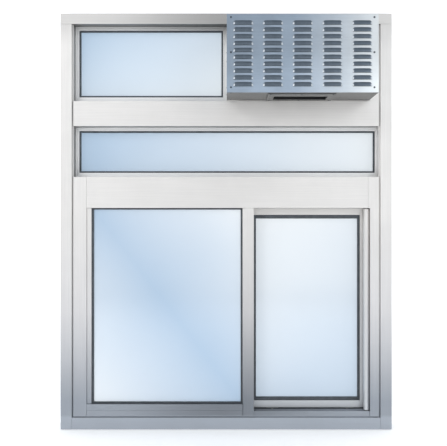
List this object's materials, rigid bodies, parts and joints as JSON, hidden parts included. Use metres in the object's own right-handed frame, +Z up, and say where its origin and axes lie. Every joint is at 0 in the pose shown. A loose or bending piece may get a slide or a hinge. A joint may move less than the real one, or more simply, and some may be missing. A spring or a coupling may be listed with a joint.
{
  "type": "service window with air curtain unit",
  "caption": "Aluminium service window with transom and ribbon lites, a sliding glazed sash on rollers, and a louvred air curtain unit that blows down across the opening.",
  "frame": {"origin": "middle of the sill's flat underside, half way through the frame's depth", "axes": "+Z up, +X along the window to the right as seen from outdoors, -Y outdoors, where the air curtain unit stands out"},
  "size_m": [1.2066, 0.33, 1.515],
  "materials": {
    "anodised_frame": "clear satin anodised extrusion, fine vertical die lines",
    "anodised_sash": "clear satin anodised extrusion",
    "unit_sheet": "brushed folded sheet",
    "zinc_sheet": "zinc-plated steel sheet",
    "clear_glass": "clear insulating glass, faint blue",
    "glazing_rubber": "matt extruded glazing gasket",
    "stop_rubber": "moulded black rubber",
    "pile": "grey wool pile weatherstrip",
    "nylon": "turned natural nylon",
    "steel_parts": "zinc-plated steel",
    "bright_steel": "ground bright steel",
    "black_plastic": "moulded black plastic",
    "motor_enamel": "dark grey motor enamel",
    "filter_media": "open-cell dark filter media"
  },
  "bodies": {
    "frame": {"frame_head": "anodised_frame", "left_jamb": "anodised_frame", "right_jamb": "anodised_frame", "sill": "anodised_frame", "upper_rail": "anodised_frame", "header_rail": "anodised_frame", "transom_mullion": "anodised_frame", "left_inner_jamb": "anodised_frame", "right_inner_jamb": "anodised_frame", "meeting_mullion": "anodised_frame", "fixed_sill_rail": "anodised_frame", "sill_track": "anodised_frame", "head_track": "anodised_frame", "transom_bead": "anodised_frame", "ribbon_bead": "anodised_frame", "fixed_side_bead": "anodised_frame", "infill_panel": "anodised_frame", "casing_wrap": "unit_sheet", "louvre_panel": "unit_sheet", "bottom_pan": "unit_sheet", "nozzle_flange": "unit_sheet", "back_plate": "zinc_sheet", "scroll_housing": "zinc_sheet", "motor_cradle": "zinc_sheet", "junction_box": "zinc_sheet", "transom_glass": "clear_glass", "ribbon_glass": "clear_glass", "fixed_glass": "clear_glass", "transom_gasket": "glazing_rubber", "ribbon_gasket": "glazing_rubber", "fixed_gasket": "glazing_rubber", "sash_stop": "stop_rubber", "strike_plate": "steel_parts", "bearing_bracket": "steel_parts", "run_capacitor": "bright_steel", "conduit_bushing": "black_plastic", "switch_body": "black_plastic", "motor_body": "motor_enamel", "intake_filter": "filter_media"},
    "sash": {"sash_left_stile": "anodised_sash", "sash_right_stile": "anodised_sash", "sash_top_rail": "anodised_sash", "sash_bottom_rail": "anodised_sash", "sash_gasket": "glazing_rubber", "sash_glass": "clear_glass", "sash_rear_bead": "anodised_sash", "sash_pull": "anodised_sash", "left_roller_carrier": "steel_parts", "right_roller_carrier": "steel_parts", "top_weatherstrip": "pile", "latch_case": "steel_parts"},
    "left_roller": {"left_roller": "nylon"},
    "right_roller": {"right_roller": "nylon"},
    "latch": {"hook_bolt": "steel_parts", "thumb_turn": "bright_steel"},
    "blower_rotor": {"blower_wheel": "zinc_sheet", "blower_shaft": "bright_steel"},
    "air_vane": {"air_vane": "zinc_sheet"},
    "switch_rocker": {"switch_rocker": "black_plastic"}
  },
  "joints": [
    {"name": "sash_slide", "type": "slide", "parent": "frame", "child": "sash", "axis": [-1, 0, 0], "range_m": [0, 0.3907]},
    {"name": "left_roller_spin", "type": "hinge", "parent": "sash", "child": "left_roller", "pos_m": [0.171, 0.014, 0.0703], "axis": [0, 1, 0], "range_deg": [-2803.5, 0]},
    {"name": "right_roller_spin", "type": "hinge", "parent": "sash", "child": "right_roller", "pos_m": [0.44925, 0.014, 0.0703], "axis": [0, 1, 0], "range_deg": [-2803.5, 0]},
    {"name": "latch_turn", "type": "hinge", "parent": "sash", "child": "latch", "pos_m": [0.50775, 0.0403, 0.47], "axis": [0, 1, 0], "range_deg": [0, 90]},
    {"name": "blower_spin", "type": "hinge", "parent": "frame", "child": "blower_rotor", "pos_m": [0.26255, -0.17483, 1.34087], "axis": [1, 0, 0], "continuous": true},
    {"name": "vane_tilt", "type": "hinge", "parent": "frame", "child": "air_vane", "pos_m": [0.26255, -0.138, 1.2128], "axis": [1, 0, 0], "range_deg": [-25, 25]},
    {"name": "rocker_tip", "type": "hinge", "parent": "frame", "child": "switch_rocker", "pos_m": [0.5199, -0.127, 1.2448], "axis": [0, 1, 0], "range_deg": [-20, 0]}
  ],
  "couplings": [
    {"joint": "left_roller_spin", "follows": "sash_slide", "rad_per_m": -125},
    {"joint": "right_roller_spin", "follows": "sash_slide", "rad_per_m": -125}
  ]
}
